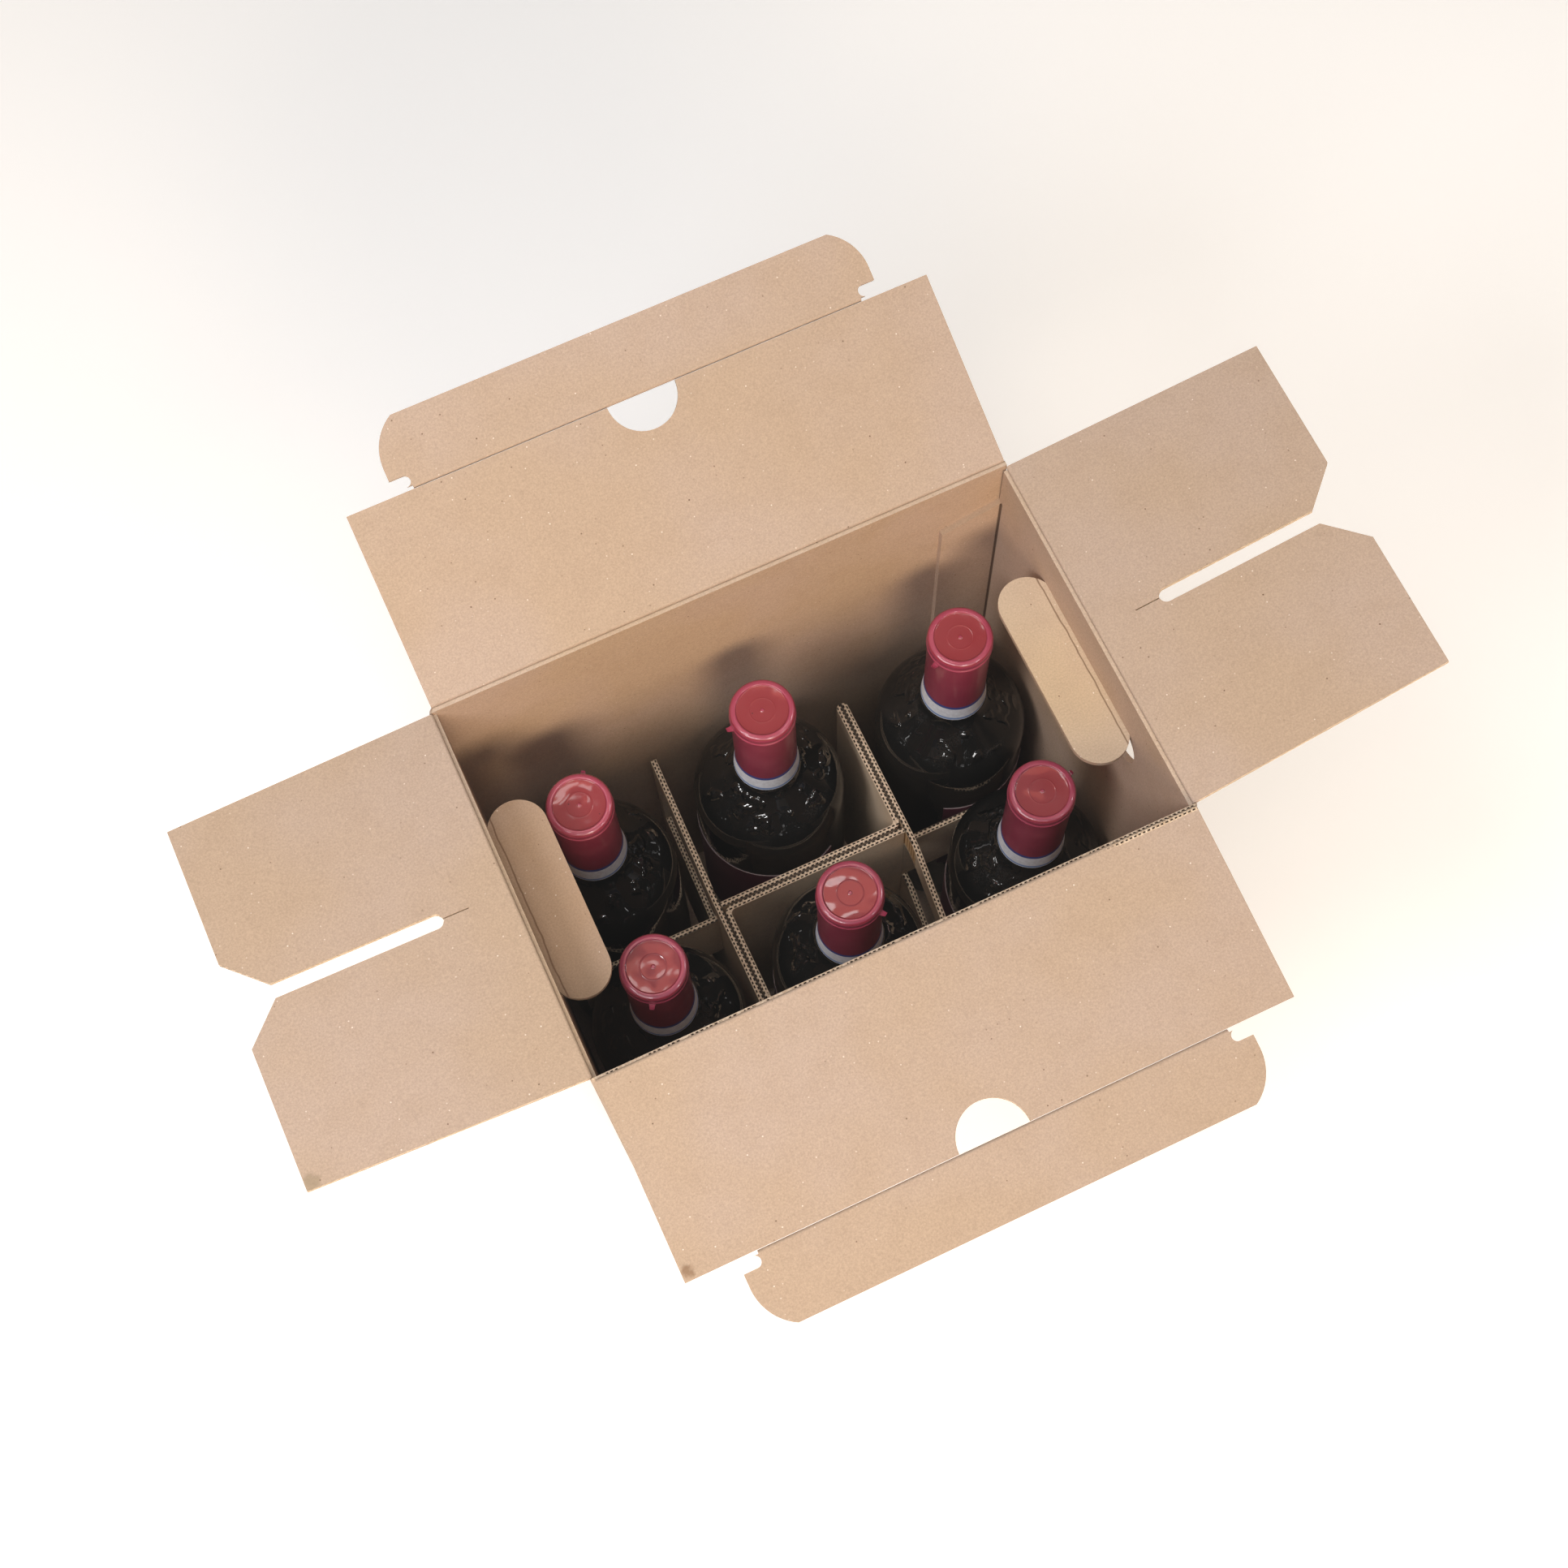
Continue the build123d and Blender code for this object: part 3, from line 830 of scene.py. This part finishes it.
@dataclass
class Carton:
    """Folded carton of double-wall board: walls, base and glued tab, with its four lid flaps."""

    half_long: float = 145.0
    half_wide: float = 94.5
    rim_high: float = 362.0
    end_rim: float = 358.7
    board: float = 3.0
    tuck_reach: float = 92.75
    hinge_high: float = 327.0
    crease_low: float = 16.0
    crease_high: float = 328.0
    tab_place: Point = (100.0, 80.0, 300.0)
    tab_top: float = 337.0

    def flap_frame(self, side: Side) -> SheetFrame:
        """Directions of a resting lid flap.

        Args:
            side: Side that it hangs on.

        Returns:
            Its frame, with the origin on its crease.
        """
        x, y, rise = side.value
        rise = radians(rise)
        start = (x * self.half_long, y * self.half_wide, self.rim_high if y else self.end_rim)
        out = Vector((x * cos(rise), y * cos(rise), sin(rise)))
        along = Vector((y, -x, 0))
        return SheetFrame(start, tuple(along), tuple(out), tuple(along.cross(out)))

    def dress_walls(self, liner: Material) -> None:
        """Give the walls, base, tab and hand-hole flaps their finishes.

        Args:
            liner: Paper of the outside.
        """
        corner = (self.half_long - self.board, self.half_wide - 2 * self.board)
        inside = KraftLiner(
            "kraft_liner_inside", "#BEA491", "#BCA187", "#B0947A",
            # Painted shadow in the glued tab's corner crease
            crease_shadows=(CreaseShadow(*corner, self.crease_low, self.crease_high),),
        ).build()
        # Wall tops: denser flecks of crushed paper, and a paler tone that is a painted highlight
        # along the rim
        rim_highlight_ridge = KraftLiner(
            "pressed_crease_ridge_painted_highlight", "#C7B5A4", "#C4AF98", "#AF967F",
            dark_share=0.8, pale_share=0.9, pale_cell=2.4,
            scuffs=(
                Scuff((-self.half_long, self.half_wide, self.end_rim), 3.5, "#6E5236"),
                Scuff((self.half_long, self.half_wide, self.end_rim), 3.5, "#A08A5C"),
            ),
        ).build()
        front = SheetFrame((0, self.board / 2 - self.half_wide, 0), (1, 0, 0), UP, (0, 1, 0))
        front_edge = RawEdge("raw_edge_wall_front", front, open_first=0.3).build()
        # Painted light: the left hand-hole flap's paper is a darker copy of the kraft as painted
        # shade, the right one's a paler copy as painted light
        left_flap, right_flap = (
            CreasedFlap(
                f"hand_hole_flap_{side}",
                KraftLiner("paper", *tones),
                SheetFrame((x * self.half_long, 0, self.hinge_high), (0, 1, 0), (-x, 0, 0), UP),
            ).build()
            for side, x, tones in (
                ("left", -1, ("#AC9583", "#AB927B", "#A08468")),
                ("right", 1, ("#C3B09B", "#C3AD91")),
            )
        )
        # Painted shade: the glued tab's upward faces are drawn darker than the liner
        tab_top_shade = KraftLiner("painted_shade_tab_top", "#A08A76", "#9E8670", "#907862").build()

        def choose(middle: Vector, normal: Vector) -> Material:
            """Choose a face's finish: liner, rim of a wall with its painted highlight, hand-hole
            flap in painted light or shade, or tab top in painted shade.

            Args:
                middle: Middle of the face in millimetres.
                normal: Its normal.

            Returns:
                The finish.
            """
            if normal.z > 0.9 and middle.z > self.end_rim - self.board:
                return front_edge if middle.y < self.board - self.half_wide else rim_highlight_ridge
            if normal.z > 0.9 and abs(middle.z - self.hinge_high - self.board / 2) < 0.4:
                return left_flap if middle.x < 0 else right_flap
            past_tab = all(there > start for there, start in zip(middle, self.tab_place))
            if normal.z > 0.7 and past_tab and middle.z < self.tab_top:
                return tab_top_shade
            faces_in = any(n * m < -0.5 * abs(m) for n, m in zip(normal[:2], middle[:2]))
            return inside if faces_in and middle.z < self.end_rim else liner

        dress("carton", choose)

    def dress_flap(self, side: Side, liner: Material) -> None:
        """Give a lid flap, and its tuck strip if it has one, their finishes.

        Args:
            side: Side that the flap hangs on.
            liner: Paper of the outside.
        """
        sheet, name = self.flap_frame(side), side.name.lower()
        outer = RawEdge(f"raw_edge_flap_{name}", sheet).build()
        sides = RawEdge(f"side_edge_flap_{name}", sheet, Cut.ALONG_FLUTES).build()
        face = liner
        if side is Side.FRONT:
            rim = SheetFrame((0, 0.6 - self.half_wide, 0), (1, 0, 0), UP, (0, 1, 0))
            # Bent corner: crushed, wrinkled paper, its darker tone partly a painted shade of the
            # bent-down fold
            bent_and_shaded = Scuff(sheet.point(140.0, 87.0), 4.0, "#8B7058", wrinkle=14.0)
            paper = KraftLiner("paper", scuffs=(bent_and_shaded,))
            face = BareCrease("kraft_liner_cracked_crease", paper, RawEdge("edge", rim)).build()
        elif side is Side.LEFT:
            # Crushed corner: wrinkled paper, its greyer tone partly a painted shade of the fold
            crushed = Scuff(sheet.point(-84.0, 122.0), 5.5, "#9F8E78", wrinkle=20.0)
            face = KraftLiner("kraft_liner_crushed_corner_shaded", scuffs=(crushed,)).build()
        directions = (sheet.origin, sheet.along, sheet.out, sheet.normal)
        origin, along, out, normal = (Vector(direction) for direction in directions)

        def choose(paper: Material, start: float, middle: Vector, facing: Vector) -> Material:
            """Choose a face's finish: its paper, or a cut edge across or along the flutes.

            Args:
                paper: Finish of the two wide faces.
                start: Distance from the flap's crease to the piece.
                middle: Middle of the face in millimetres.
                facing: Its normal.

            Returns:
                The finish.
            """
            if abs(facing.dot(normal)) > 0.5 or (middle - origin).dot(out) - start < self.board:
                return paper
            return outer if abs(facing.dot(out)) > abs(facing.dot(along)) else sides

        dress(f"flap_{name}", partial(choose, face, 0.0))
        if side in (Side.BACK, Side.FRONT):
            dress(f"tuck_strip_{name}", partial(choose, liner, self.tuck_reach))

    def dress(self) -> None:
        """Give the carton, its flaps and its tuck strips their board finishes."""
        liner = KraftLiner("kraft_liner_outside").build()
        self.dress_walls(liner)
        for side in Side:
            self.dress_flap(side, liner)


@dataclass
class Divider:
    """The two folded pieces of board that part the bottles."""

    cross_wall_x: float = 52.5
    pitch: float = 3.2
    flute_pitch: float = 2.5
    board: float = 3.0
    top: float = 197.0
    window_top: float = 177.0
    lean_start: float = 12.0
    right_lean: float = 6.0
    left_lean: float = 1.5
    torn_place: float = -8.0
    torn_reach: Point = (0.6, 8.0, 9.0)

    def edges(self, name: str, sign: int, lean: float) -> list[Material]:
        """Build the raw top edges of the plies of one piece.

        Args:
            name: Name of the piece.
            sign: Sign of the side that it stands on.
            lean: Angle of the part of its cross wall that leans.

        Returns:
            Edges of the cross wall's outer and inner ply, the middle wall's near and far ply, and
            the leaning part.
        """
        tilt = radians(lean)
        along = (-sign * sin(tilt), -sign * cos(tilt), 0.0)
        normal = (sign * cos(tilt), -sign * sin(tilt), 0.0)
        x, near = sign * self.cross_wall_x, sign * self.pitch / 2
        plies = (
            (SheetFrame((x, 0, 0), (0, 1, 0), UP, (1, 0, 0)), -sign),
            (SheetFrame((x - sign * self.pitch, 0, 0), (0, 1, 0), UP, (1, 0, 0)), sign),
            (SheetFrame((0, near, 0), (1, 0, 0), UP, (0, 1, 0)), -sign),
            (SheetFrame((0, -near, 0), (1, 0, 0), UP, (0, 1, 0)), sign),
            (SheetFrame((x, -sign * self.lean_start, 0), along, UP, normal), 0),
        )
        return [
            RawEdge(
                f"raw_edge_{name}_{i}", sheet, pitch=self.flute_pitch, mouth=(-0.55, -0.05),
                row=(0.12, 0.385), gap_side=gap, gap_wide=1.0, gap_light=0.0,
                # The last tone is the painted shade in the flute mouths
                paper="#C6AE93", ply="#E2CDB4", hollow_shade="#1E150E",
            ).build()
            for i, (sheet, gap) in enumerate(plies)
        ]

    def dress(self) -> None:
        """Give both pieces their liners and the raw top edges of their plies."""
        face = self.cross_wall_x - self.board / 2
        # Divider paper: a paler kraft, made paler still as painted light in the deep cells
        pale = KraftLiner("paper", "#DCC8AF", "#DAC3A6", "#CEB293")
        torn = (face, self.torn_place, (self.window_top + self.top) / 2)
        liner = TornLiner("torn_kraft_liner_divider", pale, torn, self.torn_reach).build()
        for name, sign, lean in (
            ("divider_right", 1, self.right_lean),
            ("divider_left", -1, self.left_lean),
        ):
            outer, inner, near, far, leaning = self.edges(name, sign, lean)

            def choose(middle: Vector, normal: Vector) -> Material:
                """Choose a face's finish: its liner, or the raw top edge of one ply.

                Args:
                    middle: Middle of the face in millimetres.
                    normal: Its normal.

                Returns:
                    The finish.
                """
                if abs(normal.z) < 0.9:
                    return liner
                across, along_wall = sign * middle.x, sign * middle.y
                if along_wall < -self.lean_start:
                    return leaning
                if across > face:
                    window = middle.z < self.top - 1 and across > face + self.board
                    return far if window else outer
                return inner if along_wall > self.pitch + self.board / 2 else near

            dress(name, choose)


@dataclass
class Bottle:
    """A sealed wine bottle with its capsule, neck band and body label."""

    place: Place
    x: float
    y: float
    pull_turn: float
    foot: float = 6.0
    high: float = 300.0
    radius: float = 39.0
    punt_high: float = 22.0
    heel_radius: float = 27.0
    shoulder_high: float = 203.0
    neck_root_high: float = 226.0
    neck_root_radius: float = 16.6
    neck_radius: float = 15.0
    film_thick: float = 1.3
    capsule_foot: float = 246.0
    capsule_radius: float = 15.45
    tab_wide: float = 3.0
    tab_thick: float = 0.5
    tab_drop: float = 7.25
    sides: int = 96

    def turned(self, name: str, profile: Sequence[tuple[float, float]]) -> Object:
        """Turn a profile about the bottle's axis: a ring that is extruded and scaled up it.

        Args:
            name: What the piece is.
            profile: Radius and height over the bottle's foot of each ring; the first and last
                close at the axis where their radius is 0.

        Returns:
            The new piece.
        """
        pick_none()
        x, y = self.x * MM, self.y * MM
        rings = [(max(radius, 0.01), height + self.foot) for radius, height in profile]
        radius, height = rings[0]
        bpy.ops.mesh.primitive_circle_add(
            vertices=self.sides, radius=radius * MM, fill_type="NOTHING",
            location=(x, y, height * MM),
        )
        piece = bpy.context.object
        piece.name = f"{name}_{self.place.value}"
        bpy.ops.object.transform_apply(location=True)
        bpy.ops.object.mode_set(mode="EDIT")
        bpy.ops.mesh.select_all(action="SELECT")
        if profile[0][0] == 0:
            bpy.ops.mesh.edge_face_add()
            bpy.ops.mesh.select_all(action="SELECT")
        for next_radius, next_height in rings[1:]:
            rise, grow = (next_height - height) * MM, next_radius / radius
            bpy.ops.mesh.extrude_edges_move(TRANSFORM_OT_translate={"value": (0, 0, rise)})
            middle = (x, y, next_height * MM)
            bpy.ops.transform.resize(value=(grow, grow, 1), center_override=middle)
            radius, height = next_radius, next_height
        if profile[-1][0] == 0:
            bpy.ops.mesh.edge_face_add()
        bpy.ops.mesh.select_all(action="SELECT")
        bpy.ops.mesh.normals_make_consistent(inside=False)
        bpy.ops.object.mode_set(mode="OBJECT")
        bpy.ops.object.shade_smooth_by_angle(angle=radians(35))
        return piece

    def glass(self) -> Object:
        """Build the glass: punt, heel, straight side, shoulder and neck.

        Returns:
            The new piece.
        """
        mouth = self.high - self.film_thick
        corners = (
            (0, self.punt_high, 0),
            (10, 19, 6),  # shoulder of the punt
            (self.heel_radius, 0, 2),
            (self.radius, 0, 5),
            (self.radius, self.shoulder_high, 30),
            (self.neck_root_radius, self.neck_root_high, 14),
            (self.neck_radius, self.capsule_foot, 0),
            (self.neck_radius, mouth, 0.5),
            (0, mouth, 0),
        )
        return self.turned("glass", rounded(corners))

    def capsule(self) -> Object:
        """Build the capsule: skirt, bead, groove, rounded rim and sunk disc, with its tear tab.

        Returns:
            The new piece.
        """
        top, side = self.high, self.capsule_radius
        corners = (
            (side - 0.4, self.capsule_foot, 0),  # hem of the skirt
            (side, self.capsule_foot, 0),
            (side, top - 7.8, 0.4),
            (side + 0.6, top - 7.0, 0.4),  # bead
            (side + 0.6, top - 6.0, 0.35),
            (side - 0.2, top - 5.3, 0.3),  # groove
            (side + 0.4, top - 4.5, 0.5),
            (side + 0.4, top, 1.9),  # rim
            (12.9, top, 0.4),
            (12.5, top - 0.75, 0.6),  # disc
            (6.6, top - 0.7, 0.5),
            (6.2, top - 0.64, 0.3),  # ring on the disc
            (5.8, top - 0.7, 0.5),
            (1.1, top - 0.7, 0.5),
            (0.6, top - 0.4, 0.3),  # point in its middle
            (0, top - 0.4, 0),
        )
        film = self.turned("capsule_film", rounded(corners, 5))
        tab = self.tear_tab()
        pick_none()
        film.select_set(True)
        tab.select_set(True)
        bpy.context.view_layer.objects.active = film
        bpy.ops.object.join()
        return film

    def tear_tab(self) -> Object:
        """Build the curled tab that tears the capsule open, under the head of the capsule.

        Returns:
            The new piece.
        """
        pick_none()
        bpy.ops.mesh.primitive_cube_add(size=1)
        tab = bpy.context.object
        tab.scale = (1.0 * MM, self.tab_wide * MM, self.tab_thick * MM)
        bpy.ops.object.transform_apply(scale=True)
        bpy.ops.object.mode_set(mode="EDIT")
        for reach, lift, narrow in ((1.0, 0.1, 0.85), (1.0, 0.35, 0.9), (0.9, 0.7, 0.8)):
            pick_faces(tab, lambda middle, normal: normal.x > 0.5)
            step = (reach * MM, 0, lift * MM)
            bpy.ops.mesh.extrude_region_move(TRANSFORM_OT_translate={"value": step})
            bpy.ops.transform.resize(value=(1, narrow, 1))
        bpy.ops.object.mode_set(mode="OBJECT")
        turn = radians(self.pull_turn)
        tab.rotation_euler = (0, 0, turn)
        reach = self.capsule_radius * MM
        tab.location = (
            self.x * MM + reach * cos(turn),
            self.y * MM + reach * sin(turn),
            (self.foot + self.high - self.tab_drop) * MM,
        )
        bpy.ops.object.transform_apply(location=True, rotation=True, scale=True)
        return tab

    def build(self, finishes: dict[str, Material]) -> None:
        """Build and dress the bottle's pieces.

        Args:
            finishes: Materials of the glass, film, band and label.
        """
        where = self.place.value
        for piece, finish, node, slot in (
            (self.glass(), "glass", f"bottle_{where}", "bottle_glass"),
            (self.capsule(), "film", f"capsule_{where}", "capsule_red"),
        ):
            piece.data.materials.append(finishes[finish])
            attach(piece, "carton")
            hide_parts(node)
            LOG.info("built %s", piece.name)
        dress(f"neck_band_{where}", lambda middle, normal: finishes["band"])
        dress(f"label_{where}", lambda middle, normal: finishes["label"])


@dataclass(frozen=True)
class Lamp:
    """Soft lamp over the table, turned to the box."""

    name: str
    place: Point
    size: tuple[float, float]
    power: float
    tone: str = "#FFFFFF"
    light: Light = Light.ALL
    target: ClassVar[Point] = (0, 0, 0.3)

    def hang(self) -> None:
        """Add the lamp to the scene."""
        data = bpy.data.lights.new(self.name, "AREA")
        data.shape = "ELLIPSE"
        data.size, data.size_y = self.size
        data.energy = self.power
        data.color = linear(self.tone)[:3]
        lamp = bpy.data.objects.new(self.name, data)
        bpy.context.scene.collection.objects.link(lamp)
        lamp.location = self.place
        down = Vector(self.target) - Vector(self.place)
        lamp.rotation_euler = down.to_track_quat("-Z", "Y").to_euler()
        lamp.visible_camera = False
        lamp.visible_diffuse = self.light is not Light.GLINT
        lamp.visible_glossy = self.light is not Light.FILL


glint = partial(Lamp, light=Light.GLINT)
LAMPS = (
    Lamp("front_light", (-0.169, -1.872, 1.442), (1.0, 1.0), 34.0, "#FFE7C9"),
    Lamp("left_light", (-0.85, -0.35, 1.35), (0.5, 0.5), 9.4, "#FFFBFA"),
    Lamp("overhead_light", (-0.16, -0.22, 2.30), (1.3, 1.1), 14.5, "#FFFCFA", Light.FILL),
    glint("glint_front", (-0.10, -1.15, 1.90), (0.40, 0.24), 9.0),
    glint("glint_front_left", (-0.80, -0.85, 1.95), (0.34, 0.26), 8.0),
    glint("glint_left", (-1.15, 0.05, 1.90), (0.36, 0.24), 8.0),
    glint("glint_front_right", (0.75, -0.90, 1.95), (0.34, 0.24), 7.0),
    glint("glint_right", (1.15, 0.00, 1.90), (0.36, 0.24), 7.0),
    glint("glint_back_left", (-0.60, 0.20, 2.20), (0.24, 0.18), 4.0),
    glint("disc_veil_front", (0.27, 0.42, 2.30), (1.0, 0.32), 3.0, "#FF8A72"),
    glint("disc_light_middle", (0.36, 0.56, 2.30), (0.16, 0.10), 0.5),
    glint("disc_light_left", (0.04, 0.60, 2.30), (0.20, 0.10), 0.4),
    glint("disc_light_back", (-0.08, 0.72, 2.30), (0.16, 0.10), 0.3),
)


@dataclass
class Studio:
    """White table, soft light from above and the camera at the photograph's angle."""

    lens: float = 51.887
    sensor: float = 36.0
    camera_place: Point = (-0.13431, -0.31532, 1.30086)
    camera_turn: Point = (19.34381, 1.31335, -24.83059)
    table: float = 8.0
    table_glow: float = 0.3
    sky: float = 0.21
    sky_tone: str = "#FFF6EC"
    black: float = 0.0062
    backdrop: float = 0.92

    def floor(self) -> None:
        """Build the pale floor."""
        pick_none()
        bpy.ops.mesh.primitive_plane_add(size=self.table)
        floor = bpy.context.object
        floor.name = "floor"
        material, shader, add = new_material("white_table")
        tone = add(Kind.NOISE, {"Vector": add(Kind.PLACE, output="Object"), "Scale": 3.0})
        shade = add(Kind.BLEND, {0: tone, 6: "#FAFAFA", 7: "#F6F6F6"})
        glow = {"Emission Color": "#FFFFFF", "Emission Strength": self.table_glow}
        wire(shader, {"Base Color": shade, "Roughness": 0.9, **glow})
        floor.data.materials.append(material)

    def light(self) -> None:
        """Hang the soft lights and set the surroundings."""
        for lamp in LAMPS:
            lamp.hang()
        world = bpy.data.worlds.new("studio")
        world.use_nodes = True
        # The backdrop looks white, and gives less light than it shows
        add = partial(add_node, world.node_tree)
        seen = add(Kind.RAY, output="Is Camera Ray")
        strength = add(Kind.RANGE, (seen, 0.0, 1.0, self.sky, self.backdrop))
        background = world.node_tree.nodes["Background"]
        wire(background, {"Color": self.sky_tone, "Strength": strength})
        bpy.context.scene.world = world
        # The photograph's darkest tones are charcoal, so black is lifted a little for display
        view = bpy.context.scene.view_settings
        view.view_transform = "Standard"
        view.use_curve_mapping = True
        view.curve_mapping.curves[3].points[0].location = (0.0, self.black)
        view.curve_mapping.update()

    def camera(self) -> None:
        """Create the camera and make it the scene's."""
        data = bpy.data.cameras.new("camera")
        data.lens = self.lens
        data.sensor_width = self.sensor
        data.clip_start = 0.05
        camera = bpy.data.objects.new("camera", data)
        camera.location = self.camera_place
        camera.rotation_euler = Euler([radians(angle) for angle in self.camera_turn], "XYZ")
        bpy.context.scene.collection.objects.link(camera)
        bpy.context.scene.camera = camera

    def build(self) -> None:
        """Set up the floor, the lights and the camera."""
        self.floor()
        self.light()
        self.camera()
        LOG.info("set up the studio")


BOTTLES = (
    Bottle(Place.BACK_LEFT, -99.0, 43.0, 63.0),
    Bottle(Place.BACK_MIDDLE, -2.0, 49.5, 180.0),
    Bottle(Place.BACK_RIGHT, 99.0, 43.0, 200.0),
    Bottle(Place.FRONT_LEFT, -99.0, -43.0, 243.0),
    Bottle(Place.FRONT_MIDDLE, -3.0, -49.5, 307.0),
    Bottle(Place.FRONT_RIGHT, 99.0, -43.0, 13.0),
)


def main() -> None:
    """Build and dress every piece, then the studio."""
    logging.basicConfig(level=logging.INFO, format="%(message)s")
    Carton().dress()
    Divider().dress()
    finishes = {
        "glass": BottleGlass().build(),
        "film": CapsuleFilm().build(),
        "band": BandPaper().build(),
        "label": LabelPaper().build(),
    }
    for bottle in BOTTLES:
        bottle.build(finishes)
    Studio().build()


if __name__ == "__main__":
    main()
